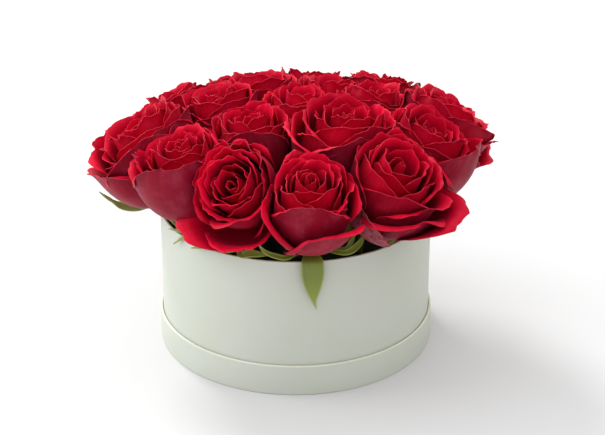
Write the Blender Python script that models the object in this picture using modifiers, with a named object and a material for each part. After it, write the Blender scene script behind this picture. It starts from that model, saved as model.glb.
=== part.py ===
"""Flower hat box: eighteen cut roses packed into a dome over a round board box.

The box's own lid is worn underneath as a shallow tray. Inside stand a waterproof liner and a block
of floral foam with a hole for each stem. Metres, +Z up, the front of the box towards -Y. The origin
is the middle of the lid's flat underside, which the whole thing rests on.
"""
import math
from typing import NamedTuple

import bmesh
import bpy
import numpy as np
from mathutils import Matrix, Vector

MM = 0.001
NAME = "flower_hat_box"
FIT = 0.3 * MM

# Box, lid, liner and foam
BOX_RADIUS = 100 * MM
BOX_TOP = 105 * MM
BOARD = 2.0 * MM
LID_HEIGHT = 23.5 * MM
LINER_WALL = 0.8 * MM
LINER_SIDE_GAP = 0.5 * MM
LINER_TOP = 92 * MM
FOAM_SIDE_GAP = 1.2 * MM
FOAM_TOP = 88 * MM
ROUND_STEPS = 48

# Stems
STEM_RADIUS = 2.3 * MM
HOLE_RADIUS = 3.3 * MM
HOLE_SIDES = 5
STEM_FOOT = 40 * MM
STEM_BEND_HEIGHT = 93 * MM
STEM_DRAW_IN = 0.75

# Rose heads: heights and radii are for a head of NORMAL_HALF_WIDTH, and scale with each rose
NORMAL_HALF_WIDTH = 33 * MM
HEAD_HEIGHT = 67 * MM
CORE_FOOT = 5.4 * MM
PETALS = 7
INNER_PETALS = 2
PETAL_THICKNESS = 0.65 * MM
PETAL_COLUMNS = 4
PETAL_ROWS = (0.0, 0.36, 0.74, 1.0)
INNER_PETAL_ROWS = (0.0, 0.6, 1.0)
GOLDEN_TURN = math.radians(137.5)
CLAW_SHARE = 0.45
WIDEST_UP = 0.65
LIP_EASE = 0.15
WIDEST = 1.3
PRESS_POWER = 2.2
PRESS_LIMIT = 0.95
CELL_ROUNDNESS = 10
CELL_MARGIN = 0.6 * MM
CELL_HEIGHT = 32 * MM

# Sepals
SEPALS = 5
SEPAL_THICKNESS = 0.8 * MM
SEPAL_WIDTH = 9 * MM
RIM_CLEARANCE = 1.0 * MM
RIM_REACH = 9 * MM


class Rose(NamedTuple):
    """Where one rose stands and how it is turned, in degrees and millimetres.

    The bearing is from the front of the box, positive to the viewer's right. Reach and height place
    the seat under the petals. The lean is outwards, and the turn is about the rose's own axis.
    """
    bearing: float
    reach: float
    height: float
    lean: float
    half_width: float
    turn: float


PLANTING = [
    Rose(-24, 62, 129, 52, 34, 120),
    Rose(6, 84, 113, 18, 34, 155),
    Rose(43, 78, 118, 30, 34, 190),
    Rose(75, 77, 120, 23, 34, 165),
    Rose(100, 86, 119, 29, 34, 150),
    Rose(142, 86, 112, 25, 34, 185),
    Rose(172, 84, 107, 22, 35, 160),
    Rose(-150, 82, 107, 21, 35, 145),
    Rose(-122, 79, 109, 26, 34, 215),
    Rose(-89, 82, 111, 29, 37, 165),
    Rose(-58, 82, 116, 14, 34, 130),
    Rose(-48, 38, 126, 5, 30, 40),
    Rose(45, 47, 124, 5, 41, 150),
    Rose(110, 50, 121, 13, 34, 250),
    Rose(151, 46, 119, 12, 34, 110),
    Rose(-152, 46, 119, 12, 34, 300),
    Rose(-110, 47, 119, 13, 34, 60),
    Rose(160, 6, 125, 5, 34, 240),
]

# The rose whose front sepal hangs over the rim and down the wall
HANGING_SEPAL_ROSE = 1


def clear_scene():
    for thing in list(bpy.data.objects):
        bpy.data.objects.remove(thing, do_unlink=True)


def make_collection(name):
    collection = bpy.data.collections.new(name)
    bpy.context.scene.collection.children.link(collection)
    return collection


def make_material(name, colour, roughness):
    material = bpy.data.materials.new(name)
    material.use_nodes = True
    shader = material.node_tree.nodes["Principled BSDF"]
    shader.inputs["Base Color"].default_value = (*colour, 1.0)
    shader.inputs["Roughness"].default_value = roughness
    shader.inputs["Metallic"].default_value = 0.0
    return material


def add_mesh(name, points, faces, collection, material=None):
    mesh = bpy.data.meshes.new(name)
    mesh.from_pydata([tuple(point) for point in points], [], faces)
    mesh.update()
    thing = bpy.data.objects.new(name, mesh)
    collection.objects.link(thing)
    if material:
        mesh.materials.append(material)
    return thing


def move_to(thing, collection):
    for home in list(thing.users_collection):
        home.objects.unlink(thing)
    collection.objects.link(thing)


def bake(thing, collection, material):
    """Replace a curve, or an object with modifiers, by its evaluated mesh, keeping its place."""
    bpy.context.view_layer.update()
    graph = bpy.context.evaluated_depsgraph_get()
    mesh = bpy.data.meshes.new_from_object(thing.evaluated_get(graph))
    place = thing.matrix_world.copy()
    name = thing.name
    bpy.data.objects.remove(thing, do_unlink=True)
    baked = bpy.data.objects.new(name, mesh)
    baked.matrix_world = place
    collection.objects.link(baked)
    mesh.name = name
    mesh.materials.clear()
    mesh.materials.append(material)
    return baked


def turned(name, profile, collection, material, steps=ROUND_STEPS):
    """Turn a closed or axis-to-axis profile of (radius, height) points about Z."""
    points = [(radius, 0.0, height) for radius, height in profile]
    edges = [(i, i + 1) for i in range(len(points) - 1)]
    mesh = bpy.data.meshes.new(name)
    mesh.from_pydata(points, edges, [])
    thing = bpy.data.objects.new(name, mesh)
    collection.objects.link(thing)
    mesh.materials.append(material)
    screw = thing.modifiers.new("turn", "SCREW")
    screw.steps = steps
    screw.render_steps = steps
    screw.use_merge_vertices = True
    screw.merge_threshold = 0.00005
    return thing


def cup_profile(outer, inner, bottom, floor, top):
    """The wall of a cup from the middle of its inner floor, over its rim, to the middle underneath."""
    return [(0, floor), (inner, floor), (inner, top), (outer, top), (outer, bottom), (0, bottom)]


def seat_frame(rose):
    """Matrix whose origin is the seat under the petals and whose +Z is the rose's own axis."""
    bearing = math.radians(rose.bearing)
    place = Matrix.Translation((rose.reach * MM * math.sin(bearing),
                                -rose.reach * MM * math.cos(bearing),
                                rose.height * MM))
    facing = Matrix.Rotation(bearing, 4, "Z")
    lean = Matrix.Rotation(math.radians(rose.lean), 4, "X")
    return place @ facing @ lean


def cell_planes(index):
    """Planes that part a rose from the others, in its own frame: rows of normal and distance."""
    own = seat_frame(PLANTING[index])
    middle = own @ Vector((0, 0, CELL_HEIGHT))
    planes = []
    for other, rose in enumerate(PLANTING):
        if other == index:
            continue
        neighbour = seat_frame(rose) @ Vector((0, 0, CELL_HEIGHT))
        across = neighbour - middle
        share = PLANTING[index].half_width / (PLANTING[index].half_width + rose.half_width)
        normal = own.to_3x3().inverted() @ across.normalized()
        distance = normal.dot(Vector((0, 0, CELL_HEIGHT))) + across.length * share - CELL_MARGIN
        planes.append((*normal, distance))
    return np.array(planes)


def room_around(points, planes, widest):
    """Each point's radius, and the room in its direction.

    The room is the distance from the rose's axis to the nearest cell plane, taken as a power mean
    so that the cell's corners are round and never beyond widest.
    """
    radius = np.hypot(points[:, 0], points[:, 1])
    direction = points[:, :2] / np.maximum(radius, 1e-9)[:, None]
    along = direction @ planes[:, :2].T
    distance = planes[:, 3][None, :] - points[:, 2][:, None] * planes[:, 2][None, :]
    closeness = np.maximum(along, 0.0) / np.maximum(distance, 1 * MM)
    total = (closeness ** CELL_ROUNDNESS).sum(axis=1) + (1 / widest) ** CELL_ROUNDNESS
    return radius, total ** (-1 / CELL_ROUNDNESS)


def press_petal(points, planes, widest):
    """Squeeze a petal towards the axis so that it stays within the rose's cell.

    A point at radius r moves to r * (1 - loss * (r / widest) ** power), where loss is the share of
    widest that the cell takes. The power is PRESS_POWER where there is room, so the heart of the
    rose keeps its shape, and less where the cell is narrow, so that no petal crosses another.
    """
    radius, room = room_around(points, planes, widest)
    loss = 1 - room / widest
    power = np.minimum(PRESS_POWER, PRESS_LIMIT / np.maximum(loss, 0.1) - 1)
    part = np.minimum(radius / widest, 1.0)
    pressed = points.copy()
    pressed[:, :2] *= (1 - loss * part ** power)[:, None]
    return pressed


def press_sepal(points, planes, widest):
    """Draw a sepal in where the cell is narrow: r becomes r / (1 + (r / room) ** 6) ** (1 / 6)."""
    radius, room = room_around(points, planes, widest)
    pressed = points.copy()
    pressed[:, :2] /= ((1 + (radius / room) ** 6) ** (1 / 6))[:, None]
    return pressed


def petal_surface(rank, half_width, across, up):
    """Points of one petal's middle surface, before its turn about the rose's axis.

    rank runs from 0 for the innermost petal to 1 for the outermost, across from -1 to 1 and up from
    0 at the base to 1 at the lip. The petal's middle follows a Bezier curve of radius and height
    that starts in the core, swells to the belly and, the further out it is, rolls back at the lip.
    Its half angle grows from the claw to WIDEST_UP, then eases a little towards the lip, and its
    top edge falls away to the sides.
    """
    size = half_width / NORMAL_HALF_WIDTH
    tall = (1 + size) / 2
    belly = (0.27 + 0.68 * rank ** 0.6) * half_width
    roll = max(0.0, (rank - 0.25) / 0.75)
    base_height = (1.6 + 12 * (1 - rank)) * MM * tall
    lip_height = HEAD_HEIGHT * tall * (0.92 + 0.09 * math.sin(math.pi * rank) - 0.24 * rank ** 4)
    lip_radius = belly * (0.66 + 0.30 * rank) + 11.5 * MM * size * roll ** 1.2
    controls = (
        (4.0 * MM, base_height),
        (belly * 1.38, base_height + (4 + 9 * (1 - rank)) * MM * tall),
        (belly * (1.20 - 0.16 * roll), lip_height * (0.78 + 0.34 * roll)),
        (lip_radius, lip_height * (1 - 0.08 * roll)),
    )
    fall = 0.22 * np.abs(across) ** 2.6 * up
    rise = up - fall * up
    weights = ((1 - rise) ** 3, 3 * (1 - rise) ** 2 * rise, 3 * (1 - rise) * rise ** 2, rise ** 3)
    radius = sum(weight * control[0] for weight, control in zip(weights, controls))
    height = sum(weight * control[1] for weight, control in zip(weights, controls))
    growth = np.sin(np.minimum(up / WIDEST_UP, 1.0) * math.pi / 2)
    easing = 1 - LIP_EASE * (np.maximum(up - WIDEST_UP, 0.0) / (1 - WIDEST_UP)) ** 2
    half_angle = math.radians(104 - 40 * rank) * (CLAW_SHARE + (1 - CLAW_SHARE) * growth) * easing
    angle = across * half_angle
    radius = radius + 1.1 * MM * size * rank * np.abs(across) ** 2 * up ** 2
    return np.stack([radius * np.cos(angle), radius * np.sin(angle), height], axis=-1)


def petal_grid(rows, columns):
    """Across and up of a petal's points, and its triangles: a claw of two points, then full rows."""
    across = [-1.0, 1.0]
    up = [rows[0], rows[0]]
    for row in rows[1:]:
        across.extend(np.linspace(-1, 1, columns + 1))
        up.extend([row] * (columns + 1))
    half = columns // 2
    faces = [(0, 1, 2 + half)]
    for column in range(columns):
        foot = 0 if column < half else 1
        faces.append((foot, 3 + column, 2 + column))
    for row in range(len(rows) - 2):
        for column in range(columns):
            corner = 2 + row * (columns + 1) + column
            above = corner + columns + 1
            faces.append((corner, corner + 1, above + 1))
            faces.append((corner, above + 1, above))
    return np.array(across), np.array(up), faces


def add_blade(name, points, faces, thickness, collection):
    """An open surface given its thickness, half to each side."""
    blade = add_mesh(name, points, faces, collection)
    solid = blade.modifiers.new("thickness", "SOLIDIFY")
    solid.thickness = thickness
    solid.offset = 0.0
    return blade


def fuse(body, extras, collection, material):
    """Join every object of a collection to one body, and remove the collection."""
    union = body.modifiers.new("fuse", "BOOLEAN")
    union.operation = "UNION"
    union.operand_type = "COLLECTION"
    union.collection = extras
    union.solver = "MANIFOLD"
    fused = bake(body, collection, material)
    for extra in list(extras.objects):
        bpy.data.objects.remove(extra, do_unlink=True)
    bpy.data.collections.remove(extras)
    return fused


def make_bloom(index, collection, material):
    """One head: a bud-shaped core with petals around it in a spiral, each one a thin blade."""
    rose = PLANTING[index]
    half_width = rose.half_width * MM
    tall = (1 + half_width / NORMAL_HALF_WIDTH) / 2
    planes = cell_planes(index)
    name = f"rose_{index + 1:02d}_bloom"
    profile = [(0, 60), (3.2, 54), (5.0, 36), (6.4, 14)]
    profile = [(radius * MM, height * MM * tall) for radius, height in profile]
    profile += [(CORE_FOOT, FIT), (0, FIT)]
    core = turned(name, profile, collection, material, steps=5)
    petals = make_collection(name + "_petals")
    for order in range(PETALS):
        rank = order / (PETALS - 1)
        rows = INNER_PETAL_ROWS if order < INNER_PETALS else PETAL_ROWS
        across, up, faces = petal_grid(rows, PETAL_COLUMNS)
        points = petal_surface(rank, half_width, across, up)
        angle = math.radians(rose.turn) + order * GOLDEN_TURN
        spin = np.array(Matrix.Rotation(angle, 3, "Z"))
        points = press_petal(points @ spin.T, planes, WIDEST * half_width)
        add_blade(f"{name}_petal_{order}", points, faces, PETAL_THICKNESS, petals)
    bloom = fuse(core, petals, collection, material)
    bloom.matrix_world = seat_frame(rose)
    return bloom


def stem_path(rose):
    """Middle line of a stem and its radius: the swollen seat, a bend, then straight into the foam."""
    frame = seat_frame(rose)
    axis = (frame.to_3x3() @ Vector((0, 0, 1))).normalized()
    seat = frame.translation
    foot = stem_foot(rose)
    bend = Vector((foot.x, foot.y, STEM_BEND_HEIGHT))
    path = [(seat, 4.4 * MM), (seat - axis * 4 * MM, 5.4 * MM), (seat - axis * 11 * MM, 2.8 * MM)]
    last = path[-1][0]
    if last.z - bend.z > 10 * MM:
        path.append(((last + bend) / 2 - axis * 1.0 * MM, STEM_RADIUS))
    path.append((bend - Vector((0, 0, 3 * MM)), STEM_RADIUS))
    path.append((foot, STEM_RADIUS))
    return path


def stem_foot(rose):
    """Where the stem ends in the foam: drawn in from the seat, as its lean carries it."""
    drop = rose.height * MM - STEM_BEND_HEIGHT
    reach = rose.reach * MM - drop * math.tan(math.radians(rose.lean)) * STEM_DRAW_IN
    bearing = math.radians(rose.bearing)
    return Vector((reach * math.sin(bearing), -reach * math.cos(bearing), STEM_FOOT))


def lift_over_rim(points):
    """Raise points from the box's rim outwards, so that a sepal lies over the rim."""
    near = np.hypot(points[:, 0], points[:, 1]) > BOX_RADIUS - RIM_REACH
    lifted = points.copy()
    lifted[near, 2] = np.maximum(points[near, 2], BOX_TOP + RIM_CLEARANCE)
    return lifted


def sepal_outline(length, width, rise, droop):
    """A pointed strip of two stretches, in its own frame: +X outwards, +Y across, +Z up."""
    widest = 0.45
    points = []
    for station, share in ((0.0, 0.5), (widest, 1.0)):
        height = (rise * station - droop * station ** 2) * length
        points.append((station * length, -share * width / 2, height))
        points.append((station * length, share * width / 2, height))
    points.append((length, 0.0, (rise - droop) * length))
    return np.array(points), [(0, 2, 3), (0, 3, 1), (2, 4, 3)]


def hanging_sepal(frame, bearing):
    """The sepal that lies over the rim: out from the seat, over the edge and down the wall."""
    seat = frame.translation
    rim = BOX_RADIUS + 3 * MM
    route = (
        (math.hypot(seat.x, seat.y) + 3.5 * MM, seat.z - 2.6 * MM, 4.0),
        (rim - 1.0 * MM, BOX_TOP + 1.6 * MM, 14.0),
        (rim + 1.4 * MM, BOX_TOP - 6 * MM, 15.0),
        (rim + 0.6 * MM, BOX_TOP - 20 * MM, 8.0),
    )
    tip = (rim + 0.4 * MM, BOX_TOP - 36 * MM)
    out = np.array((math.sin(bearing), -math.cos(bearing)))
    side = np.array((math.cos(bearing), math.sin(bearing)))
    points = []
    for reach, height, half in ((r, h, w / 2 * MM) for r, h, w in route):
        for sign in (-1, 1):
            points.append((*(out * reach + side * half * sign), height))
    points.append((*(out * tip[0]), tip[1]))
    faces = [(0, 2, 3), (0, 3, 1), (2, 4, 5), (2, 5, 3), (4, 6, 7), (4, 7, 5), (6, 8, 7)]
    return np.array(points), faces


def make_green(index, collection, material):
    """One stem with the swollen seat and five sepals, in world place."""
    rose = PLANTING[index]
    name = f"rose_{index + 1:02d}_stem"
    curve = bpy.data.curves.new(name, "CURVE")
    curve.dimensions = "3D"
    curve.bevel_depth = 1.0
    curve.bevel_resolution = 1
    curve.use_fill_caps = True
    path = stem_path(rose)
    spline = curve.splines.new("POLY")
    spline.points.add(len(path) - 1)
    for point, (place, radius) in zip(spline.points, path):
        point.co = (*place, 1.0)
        point.radius = radius
    tube = bpy.data.objects.new(name, curve)
    collection.objects.link(tube)
    stem = bake(tube, collection, material)
    weld(stem)
    sepals = make_collection(name + "_sepals")
    frame = seat_frame(rose)
    planes = cell_planes(index)
    for order in range(SEPALS):
        angle = math.radians(rose.turn) * 0.5 + order * math.tau / SEPALS
        if index == HANGING_SEPAL_ROSE:
            angle = order * math.tau / SEPALS - math.pi / 2
        if index == HANGING_SEPAL_ROSE and order == 0:
            points, faces = hanging_sepal(frame, math.radians(rose.bearing))
            add_blade(f"{name}_sepal_{order}", points, faces, SEPAL_THICKNESS, sepals)
            continue
        length = (27 + 3 * math.cos(2.4 * order + index)) * MM
        droop = 0.16 + 0.10 * math.sin(1.7 * order + index)
        points, faces = sepal_outline(length, SEPAL_WIDTH, 0.16, droop)
        points[:, 0] += 3.0 * MM
        points[:, 2] -= 2.4 * MM
        spin = np.array(Matrix.Rotation(angle, 3, "Z"))
        points = press_sepal(points @ spin.T, planes, WIDEST * rose.half_width * MM)
        points = points @ np.array(frame.to_3x3()).T + np.array(frame.translation)
        points = lift_over_rim(points)
        add_blade(f"{name}_sepal_{order}", points, faces, SEPAL_THICKNESS, sepals)
    return fuse(stem, sepals, collection, material)


def weld(thing):
    """Close the loose caps of a curve that was made a mesh."""
    grid = bmesh.new()
    grid.from_mesh(thing.data)
    bmesh.ops.remove_doubles(grid, verts=grid.verts, dist=0.00001)
    grid.to_mesh(thing.data)
    grid.free()


def make_box(collection, board):
    """The round box: a wall and a floor of board, standing on the lid's inner face."""
    bottom = BOARD + FIT
    profile = cup_profile(BOX_RADIUS, BOX_RADIUS - BOARD, bottom, bottom + BOARD, BOX_TOP)
    return turned("hat_box_body", profile, collection, board)


def make_lid(collection, board):
    """The lid, upside down beneath the box: its flat top is the underside that rests."""
    inner = BOX_RADIUS + FIT
    profile = cup_profile(inner + BOARD, inner, 0.0, BOARD, LID_HEIGHT)
    return turned("hat_box_lid", profile, collection, board)


def make_liner(collection, plastic):
    """The waterproof cup inside the box."""
    outer = BOX_RADIUS - BOARD - LINER_SIDE_GAP
    bottom = 2 * BOARD + 2 * FIT
    profile = cup_profile(outer, outer - LINER_WALL, bottom, bottom + LINER_WALL, LINER_TOP)
    return turned("liner", profile, collection, plastic, steps=36)


def make_foam(collection, wet_foam):
    """The foam block in the liner, with a plain hole for each stem."""
    radius = BOX_RADIUS - BOARD - LINER_SIDE_GAP - LINER_WALL - FOAM_SIDE_GAP
    bottom = 2 * BOARD + LINER_WALL + 3 * FIT
    bpy.ops.mesh.primitive_cylinder_add(vertices=24, radius=radius, depth=FOAM_TOP - bottom,
                                        location=(0, 0, (FOAM_TOP + bottom) / 2))
    foam = bpy.context.object
    foam.name = "floral_foam"
    move_to(foam, collection)
    foam.data.materials.append(wet_foam)
    holes = make_collection("stem_holes")
    for number, rose in enumerate(PLANTING, start=1):
        foot = stem_foot(rose)
        depth = FOAM_TOP - (foot.z - FIT) + 5 * MM
        bpy.ops.mesh.primitive_cylinder_add(vertices=HOLE_SIDES, radius=HOLE_RADIUS, depth=depth,
                                            location=(foot.x, foot.y, foot.z - FIT + depth / 2))
        hole = bpy.context.object
        hole.name = f"stem_hole_{number:02d}"
        hole.hide_render = True
        hole.display_type = "WIRE"
        move_to(hole, holes)
    drill = foam.modifiers.new("stem holes", "BOOLEAN")
    drill.operation = "DIFFERENCE"
    drill.operand_type = "COLLECTION"
    drill.collection = holes
    drill.solver = "EXACT"
    return foam


def main():
    clear_scene()
    parts = make_collection(NAME)
    board = make_material("ivory_board", (0.55, 0.56, 0.48), 0.55)
    plastic = make_material("liner_plastic", (0.20, 0.22, 0.20), 0.35)
    wet_foam = make_material("wet_foam", (0.03, 0.09, 0.04), 0.95)
    petal = make_material("red_petal", (0.52, 0.006, 0.020), 0.55)
    leaf = make_material("green_sepal", (0.16, 0.28, 0.05), 0.5)
    make_box(parts, board)
    make_lid(parts, board)
    make_liner(parts, plastic)
    make_foam(parts, wet_foam)
    for index in range(len(PLANTING)):
        make_bloom(index, parts, petal)
        make_green(index, parts, leaf)


main()
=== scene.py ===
"""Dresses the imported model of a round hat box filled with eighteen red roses.

Metres, +Z up, the front of the box towards -Y, the origin under the middle of the lid.
"""
import math
from typing import NamedTuple

import bmesh
import bpy
import numpy as np
from mathutils import Matrix, Vector


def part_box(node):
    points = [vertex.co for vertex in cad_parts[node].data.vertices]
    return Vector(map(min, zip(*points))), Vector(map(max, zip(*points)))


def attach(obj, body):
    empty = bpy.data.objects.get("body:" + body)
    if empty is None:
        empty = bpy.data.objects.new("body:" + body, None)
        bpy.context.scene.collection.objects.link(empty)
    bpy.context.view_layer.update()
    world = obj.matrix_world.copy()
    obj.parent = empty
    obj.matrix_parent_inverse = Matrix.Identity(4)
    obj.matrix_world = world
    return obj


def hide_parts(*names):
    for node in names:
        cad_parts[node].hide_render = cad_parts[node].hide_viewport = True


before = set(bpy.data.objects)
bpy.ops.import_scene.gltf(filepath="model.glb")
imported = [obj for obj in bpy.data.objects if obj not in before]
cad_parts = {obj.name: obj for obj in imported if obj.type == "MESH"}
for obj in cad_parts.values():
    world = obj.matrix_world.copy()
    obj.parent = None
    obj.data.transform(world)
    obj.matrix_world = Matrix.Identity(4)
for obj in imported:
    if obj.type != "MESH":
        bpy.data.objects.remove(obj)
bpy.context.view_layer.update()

bl_info = {
    "name": "Rose Hat Box",
    "version": (1, 0, 0),
    "blender": (4, 5, 0),
    "location": "View3D > Sidebar > Rose Hat Box",
    "description": "Board box, cut roses and greenery built around the packed frame",
    "category": "Object",
}

MM = 0.001
BODY = "root"
BOX_LOW, BOX_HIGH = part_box("hat_box_body")
LID_LOW, LID_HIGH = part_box("hat_box_lid")


class Rose(NamedTuple):
    """Where one rose stands and its habit, in degrees and millimetres.

    The bearing is from the front of the box, positive to the viewer's right. Reach and height place
    the seat under the petals. The lean is outwards, and the turn is about the rose's own axis. Open
    runs from 0 for a tight cup to 1 for a blown one.
    """
    bearing: float
    reach: float
    height: float
    lean: float
    half_width: float
    turn: float
    open: float


PLANTING = [
    Rose(-25, 62, 129, 50, 29, 120, 0.50),
    Rose(6, 84, 113, 18, 30, 155, 0.40),
    Rose(43, 78, 118, 30, 34, 190, 0.55),
    Rose(75, 77, 120, 23, 34, 165, 0.50),
    Rose(100, 86, 119, 29, 36, 150, 0.60),
    Rose(142, 86, 112, 25, 34, 185, 0.85),
    Rose(172, 84, 107, 22, 35, 160, 0.85),
    Rose(-150, 82, 107, 21, 35, 145, 0.85),
    Rose(-122, 79, 109, 26, 37, 215, 0.85),
    Rose(-89, 82, 111, 29, 39, 165, 0.65),
    Rose(-58, 82, 116, 14, 30, 130, 0.60),
    Rose(-48, 38, 126, 5, 30, 40, 0.30),
    Rose(45, 47, 124, 5, 41, 150, 0.80),
    Rose(110, 50, 121, 13, 37, 250, 0.80),
    Rose(151, 46, 119, 12, 34, 110, 0.85),
    Rose(-152, 46, 119, 12, 37, 300, 0.85),
    Rose(-110, 47, 119, 13, 38, 60, 0.85),
    Rose(160, 6, 125, 5, 34, 240, 0.85),
]
SEPAL_COUNT = 5


class Guard(NamedTuple):
    """An outer petal set one by one, in degrees and in shares of the rose's own sizes.

    The bearing is about the rose from its side nearest the viewer, positive to the viewer's right.
    A positive skew keeps the lip's right end up and drops its left end by that share of the length.
    Dried runs from 0 for a fresh petal to 1 for a withered one.
    """
    bearing: float
    half_angle: float
    belly: float
    lip_radius: float
    lip_height: float
    roll: float
    skew: float
    dried: float = 0.0


# The outer petals that the front view shows one by one, by the rose's place in PLANTING
GUARDS = {
    0: [Guard(-86, 54, 1.12, 1.98, 0.48, 30, 0.0), Guard(-10, 54, 1.12, 1.50, 0.58, 50, -0.10),
        Guard(52, 52, 1.05, 1.18, 0.74, 40, 0.12), Guard(170, 60, 0.88, 0.84, 0.83, 70, 0.0),
        Guard(-100, 60, 0.90, 0.92, 0.84, 60, 0.0), Guard(130, 60, 0.86, 0.80, 0.85, 60, 0.0)],
    1: [Guard(8, 56, 1.08, 0.98, 0.88, 110, 0.62), Guard(-66, 60, 1.00, 1.08, 0.84, 80, -0.30),
        Guard(180, 60, 0.95, 1.08, 0.86, 90, 0.0), Guard(-2, 60, 0.94, 0.90, 0.93, 60, 0.04),
        Guard(110, 60, 0.92, 1.02, 0.84, 80, 0.0)],
    2: [Guard(-32, 44, 1.12, 1.24, 0.58, 40, -0.05, dried=1.0),
        Guard(18, 56, 1.02, 1.16, 0.74, 110, 0.12), Guard(68, 52, 1.02, 1.66, 0.70, 60, 0.16),
        Guard(175, 60, 0.95, 1.05, 0.86, 80, 0.0)],
    3: [Guard(62, 70, 1.10, 1.00, 0.92, 20, 0.05), Guard(-70, 55, 0.95, 1.10, 0.82, 100, 0.0)],
    9: [Guard(-4, 62, 0.98, 1.08, 0.88, 60, 0.15), Guard(-62, 58, 1.04, 1.20, 0.76, 50, 0.05),
        Guard(74, 54, 1.00, 1.10, 0.84, 80, 0.0), Guard(30, 60, 0.93, 1.00, 0.85, 80, 0.0),
        Guard(-102, 62, 0.90, 0.92, 0.88, 60, 0.0)],
    10: [Guard(-8, 76, 1.16, 1.04, 0.92, 40, 0.10), Guard(-84, 50, 0.92, 0.90, 0.90, 50, 0.05),
         Guard(100, 50, 0.96, 0.98, 0.80, 60, 0.0), Guard(32, 56, 0.90, 0.90, 0.80, 30, 0.0)],
    11: [Guard(4, 62, 1.02, 0.98, 0.92, 50, 0.05), Guard(-80, 56, 0.98, 1.16, 0.86, 80, 0.10)],
    12: [Guard(-66, 52, 1.00, 1.30, 0.82, 60, -0.10), Guard(10, 62, 1.02, 1.08, 0.84, 110, 0.0),
         Guard(70, 56, 1.00, 1.16, 0.84, 100, 0.10)],
}

CUP_STEPS = 256  # round the circle
POLE_RADIUS = 0.0001 * MM
# Where the wrapping paper's lap begins to rise, over how much and where it ends, about Z from +X
LAP_START, LAP_RISE, LAP_END = math.radians(78), math.radians(11), math.radians(89.5)

NORMAL_HALF_WIDTH = 33 * MM  # of a rose whose head is as tall as the settings say
GOLDEN_TURN = 137.5  # degrees from one petal to the next
BLOOM_SEED, GREEN_SEED = 40, 400
WIDEST = 1.3  # reach of the petals before they are pressed, as a share of the half width
PRESS_POWER = 2.2  # how steeply the squeeze grows outwards
PRESS_LIMIT = 0.95  # keeps a squeezed petal from folding back over itself
CELL_ROUNDNESS = 10  # power of the mean that rounds a cell's corners
CELL_MARGIN = -1.5 * MM  # below 0, so that neighbours' lips may touch and cross
CELL_HEIGHT = 32 * MM  # height along each axis from which the parting planes are laid

PETAL_ROWS, PETAL_COLUMNS = 20, 19
LIP_CROWDING = 1.35  # power that crowds the rows towards the lip
ROLL_POWER = 1.6  # power that gathers the roll near the lip
LARGEST_FALL = 0.92  # share of its length that a petal may lose at its lip
USUAL_OPEN = 0.55  # openness at which the outer lips lie as the tables say
# In millimetres: radius and height of a petal's foot, how much higher the innermost one starts,
# the depth of the folds, the flare of the corners and how far the heart leans to one side
FOOT_RADIUS, FOOT_HEIGHT, FOOT_RISE = 4.0, 1.6, 12
FOLD, FLARE, HEART_LEAN = 0.6, 1.2, 2.2

# Rises over the rose's seat and radii of the swollen seat, then the stem's radius, in millimetres
SEAT_PROFILE = ((1.2, 0.01), (1.0, 3.4), (0, 4.6), (-4, 5.4), (-9, 3.6), (-13, 2.6))
STEM_RADIUS = 2.3
STEM_FOOT = 40 * MM
STEM_BEND_HEIGHT = 93 * MM
STEM_DRAW_IN = 0.75  # how much of its lean draws the stem's foot inwards
SEPAL_RING, SEPAL_DROP = 3.2, 2.6  # where sepals start: out from the axis and under the seat, mm
SEPAL_NARROWEST = 0.12 * MM  # least half width, at the tip

FLOOR_REACH, FLOOR_DROP = 6.0, 0.05 * MM  # half the floor's side, and how far it lies under the lid
LAMP_TARGET = (0, 0, 0.1)
KEY_PLACE, KEY_ANGLE = (-0.66, 1.0, 1.15), math.radians(18)
FILL_PLACE, FILL_SIZE, FILL_TINT = (-1.35, 0.1, 0.6), 0.9, (0.92, 0.97, 1.0)
SENSOR_WIDTH = 36.0

# How a petal changes from the innermost (rank 0) to the outermost (rank 1): belly and lip radius as
# shares of the half width, lip height as a share of the head's, roll and half angle in degrees
RANKS = (0.0, 0.05, 0.11, 0.20, 0.35, 0.50, 0.70, 0.85, 1.0)
BELLY = (0.11, 0.16, 0.27, 0.38, 0.52, 0.65, 0.80, 0.92, 1.0)
LIP_RADIUS = (0.05, 0.10, 0.24, 0.36, 0.52, 0.66, 0.84, 0.98, 1.14)
LIP_HEIGHT = (0.93, 0.94, 0.955, 0.965, 0.96, 0.93, 0.88, 0.81, 0.71)
ROLL = (-6, 8, 24, 34, 46, 58, 80, 100, 118)
HALF_ANGLE = (170, 140, 100, 84, 74, 68, 63, 60, 57)


def number_setting(name, description, default, **limits):
    """A number that a user may change, with its limits and unit."""
    return bpy.props.FloatProperty(name=name, description=description, default=default, **limits)


def length_setting(name, description, default, least=0.0):
    """A length that a user may change."""
    return number_setting(name, description, default, min=least, unit="LENGTH")


def colour_setting(name, description, default):
    """A colour that a user may change."""
    return bpy.props.FloatVectorProperty(name=name, description=description, default=default,
                                         subtype="COLOR", size=3, min=0.0, max=1.0)


class HATBOX_PG_box(bpy.types.PropertyGroup):
    """Sizes and finish of the board box and the lid beneath it."""
    rounding: length_setting(
        "Edge rounding", "Radius of the board's turned edges", 0.8 * MM, least=0.1 * MM)
    board: length_setting(
        "Board", "Thickness of the box's and the lid's board", 2.0 * MM, least=0.5 * MM)
    overlap: length_setting(
        "Paper overlap", "Step where the wrapping paper laps itself at the back", 0.18 * MM)
    paper: colour_setting("Paper", "Colour of the wrapping paper", (0.555, 0.575, 0.515))
    # Painted shade: the inner wall's paper is pale, and this dark colour stands for the shade
    # inside the box
    lining: colour_setting("Lining", "Colour of the paper inside the box", (0.10, 0.12, 0.10))
    # Near black: partly the film's own dark colour, partly painted shade for the dark inside of the
    # box
    liner: colour_setting("Liner", "Colour of the waterproof cup", (0.05, 0.06, 0.05))
    foam: colour_setting("Foam", "Colour of the wet floral foam", (0.012, 0.045, 0.020))


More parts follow.
